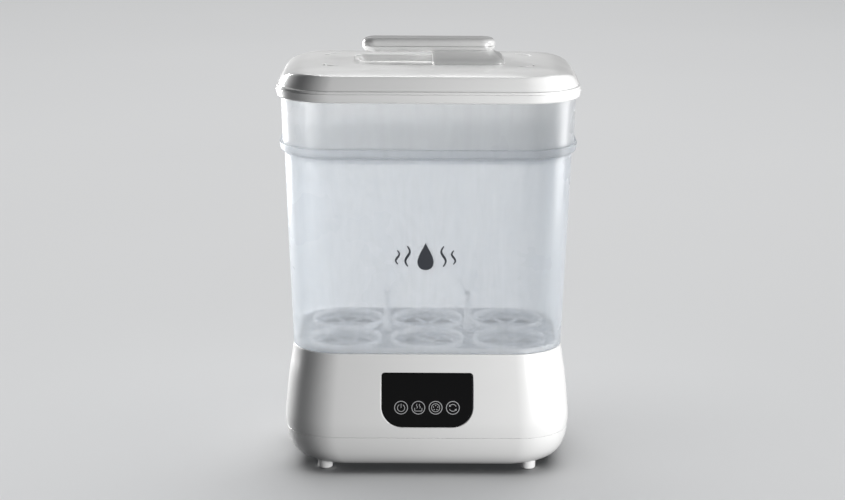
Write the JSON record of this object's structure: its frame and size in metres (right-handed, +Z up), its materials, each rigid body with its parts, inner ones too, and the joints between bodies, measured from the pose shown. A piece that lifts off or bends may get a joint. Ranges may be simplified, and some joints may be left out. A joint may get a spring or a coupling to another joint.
{
  "type": "bottle sterilizer",
  "caption": "Electric steam steriliser and dryer for feeding bottles: heating base with touch panel, translucent chamber with rack, translucent upper tray and lid with raised grip.",
  "frame": {"origin": "on the floor, under the middle of the base", "axes": "+Z up, +X to the right and -Y towards the user, who faces the touch panel"},
  "size_m": [0.29, 0.189, 0.417],
  "materials": {
    "white_plastic": "glossy moulded plastic",
    "frosted_plastic": "translucent frosted plastic, smooth outside",
    "black_lens": "glossy black touch panel",
    "icon_print": "printed icon outlines",
    "grey_rubber": "matt rubber pads",
    "dark_plastic": "matt moulded plastic",
    "grey_plastic": "matt moulded plastic",
    "circuit_board": "solder mask",
    "steel": "zinc plated",
    "plate_steel": "spun stainless steel",
    "element_steel": "oxidised sheath",
    "brass_pins": "plated pins",
    "silicone": "silicone rubber",
    "fuse_ceramic": "ceramic sleeve",
    "heater_fins": "folded fins",
    "filter_paper": "pleated filter paper"
  },
  "bodies": {
    "base": {"base_housing": "white_plastic", "bottom_cover": "white_plastic", "housing_screws": "steel", "feet": "white_plastic", "foot_pads": "grey_rubber", "touch_panel": "black_lens", "touch_icons": "icon_print", "touch_board": "circuit_board", "control_board": "circuit_board", "board_parts": "dark_plastic", "board_screws": "steel", "mains_inlet": "dark_plastic", "inlet_pins": "brass_pins", "heating_plate": "plate_steel", "plate_gasket": "silicone", "plate_clamp": "steel", "plate_screws": "steel", "heating_element": "element_steel", "thermostat": "dark_plastic", "thermal_fuse": "fuse_ceramic", "fan_housing": "dark_plastic", "fan_motor": "steel", "air_duct": "grey_plastic", "air_heater": "heater_fins", "outlet_cap": "white_plastic"},
    "fan": {"motor_shaft": "steel", "fan_impeller": "dark_plastic"},
    "filter": {"filter_drawer": "white_plastic", "air_filter": "filter_paper"},
    "rack": {"bottle_rack": "frosted_plastic", "rack_rings": "frosted_plastic"},
    "chamber": {"chamber": "frosted_plastic"},
    "tray": {"upper_tray": "frosted_plastic"},
    "lid": {"lid_shell": "white_plastic", "handle_base": "white_plastic", "handle_cap": "white_plastic", "handle_screws": "steel"}
  },
  "joints": [
    {"name": "fan_spin", "type": "hinge", "parent": "base", "child": "fan", "pos_m": [0.044, 0.008, 0.03], "axis": [0, 0, 1], "continuous": true},
    {"name": "filter_slide", "type": "slide", "parent": "base", "child": "filter", "axis": [0, 1, 0], "range_m": [0, 0.045]},
    {"name": "rack_lift", "type": "slide", "parent": "base", "child": "rack", "axis": [0, 0, 1], "range_m": [0, 0.1]},
    {"name": "chamber_lift", "type": "slide", "parent": "base", "child": "chamber", "axis": [0, 0, 1], "range_m": [0, 0.12]},
    {"name": "tray_lift", "type": "slide", "parent": "chamber", "child": "tray", "axis": [0, 0, 1], "range_m": [0, 0.09]},
    {"name": "lid_lift", "type": "slide", "parent": "tray", "child": "lid", "axis": [0, 0, 1], "range_m": [0, 0.1]}
  ]
}
